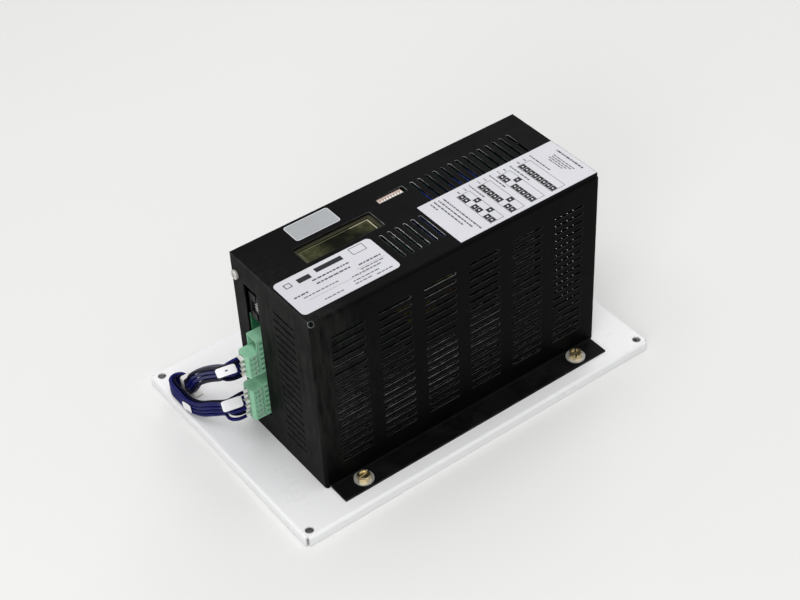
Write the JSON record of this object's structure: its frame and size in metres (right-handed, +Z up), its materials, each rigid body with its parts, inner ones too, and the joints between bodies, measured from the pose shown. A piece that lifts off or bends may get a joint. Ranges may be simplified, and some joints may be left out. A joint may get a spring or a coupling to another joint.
{
  "type": "battery charger",
  "caption": "Battery charger in a slotted black sheet-metal case on a white mounting plate, with plug-in green terminal blocks, a wire loom, a display and a setting switch.",
  "frame": {"origin": "bottom centre of the mounting plate, on the surface that its folded rim stands on", "axes": "+X along the length, away from the terminal blocks; +Y from the slotted front wall to the back; +Z up"},
  "size_m": [0.3443, 0.229, 0.1778],
  "materials": {
    "white_paint": "gloss powder coat",
    "black_paint": "satin powder coat",
    "yellow_zinc": "yellow zinc plate",
    "bright_zinc": "bright zinc plate",
    "tin": "tinned",
    "board_green": "solder mask on glass fibre board",
    "terminal_green": "moulded",
    "black_plastic": "moulded",
    "white_plastic": "moulded",
    "display_frame": "black",
    "display_glass": "dark olive liquid crystal panel",
    "ribbon_grey": "satin",
    "switch_body": "moulded",
    "wire_blue": "gloss insulation",
    "wire_black": "gloss insulation",
    "ferrite": "ferrite",
    "coil_tape": "polyester tape",
    "aluminium": "extruded",
    "can_blue": "shrink sleeve",
    "can_black": "shrink sleeve",
    "choke_ring": "painted powder core",
    "copper": "enamelled copper",
    "relay_case": "moulded",
    "fuse_glass": "clear",
    "label_white": "printed film",
    "label_silver": "printed film"
  },
  "bodies": {
    "charger": {"mounting_plate": "white_paint", "cover": "black_paint", "rear_panel": "black_paint", "flange_screws": "yellow_zinc", "flange_washers": "bright_zinc", "cover_screws": "bright_zinc", "main_board": "board_green", "board_standoffs": "bright_zinc", "board_screws": "bright_zinc", "standoff_screws": "bright_zinc", "display_board": "board_green", "display_bezel": "display_frame", "display_glass": "display_glass", "display_standoffs": "bright_zinc", "display_screws": "bright_zinc", "display_socket": "black_plastic", "ribbon_cable": "ribbon_grey", "ribbon_socket": "black_plastic", "switch_housing": "switch_body", "upper_header": "terminal_green", "lower_header": "terminal_green", "header_pins": "tin", "upper_plug": "terminal_green", "lower_plug": "terminal_green", "plug_screws": "bright_zinc", "plug_clamps": "bright_zinc", "blue_wires": "wire_blue", "black_wires": "wire_black", "wire_collars": "white_plastic", "tie_mount": "white_plastic", "cable_tie": "white_plastic", "wire_markers": "white_plastic", "transformer_core": "ferrite", "transformer_bobbin": "black_plastic", "transformer_coil": "coil_tape", "heat_sink": "aluminium", "power_transistors": "black_plastic", "transistor_screws": "bright_zinc", "bulk_capacitors": "can_blue", "output_capacitors": "can_black", "choke_core": "choke_ring", "choke_coil": "copper", "relays": "relay_case", "fuse": "fuse_glass", "fuse_clips": "tin", "control_chips": "black_plastic", "box_header": "black_plastic", "box_header_pins": "tin", "rating_label": "label_white", "badge_label": "label_silver", "settings_label": "label_white"},
    "dip_slider_1": {"slider_1": "white_plastic"},
    "dip_slider_2": {"slider_2": "white_plastic"},
    "dip_slider_3": {"slider_3": "white_plastic"},
    "dip_slider_4": {"slider_4": "white_plastic"},
    "dip_slider_5": {"slider_5": "white_plastic"},
    "dip_slider_6": {"slider_6": "white_plastic"},
    "dip_slider_7": {"slider_7": "white_plastic"},
    "dip_slider_8": {"slider_8": "white_plastic"}
  },
  "joints": [
    {"name": "slider_1_slide", "type": "slide", "parent": "charger", "child": "dip_slider_1", "axis": [0, 1, 0], "range_m": [0, 0.0018]},
    {"name": "slider_2_slide", "type": "slide", "parent": "charger", "child": "dip_slider_2", "axis": [0, 1, 0], "range_m": [0, 0.0018]},
    {"name": "slider_3_slide", "type": "slide", "parent": "charger", "child": "dip_slider_3", "axis": [0, 1, 0], "range_m": [0, 0.0018]},
    {"name": "slider_4_slide", "type": "slide", "parent": "charger", "child": "dip_slider_4", "axis": [0, 1, 0], "range_m": [0, 0.0018]},
    {"name": "slider_5_slide", "type": "slide", "parent": "charger", "child": "dip_slider_5", "axis": [0, 1, 0], "range_m": [0, 0.0018]},
    {"name": "slider_6_slide", "type": "slide", "parent": "charger", "child": "dip_slider_6", "axis": [0, 1, 0], "range_m": [0, 0.0018]},
    {"name": "slider_7_slide", "type": "slide", "parent": "charger", "child": "dip_slider_7", "axis": [0, 1, 0], "range_m": [0, 0.0018]},
    {"name": "slider_8_slide", "type": "slide", "parent": "charger", "child": "dip_slider_8", "axis": [0, 1, 0], "range_m": [0, 0.0018]}
  ]
}
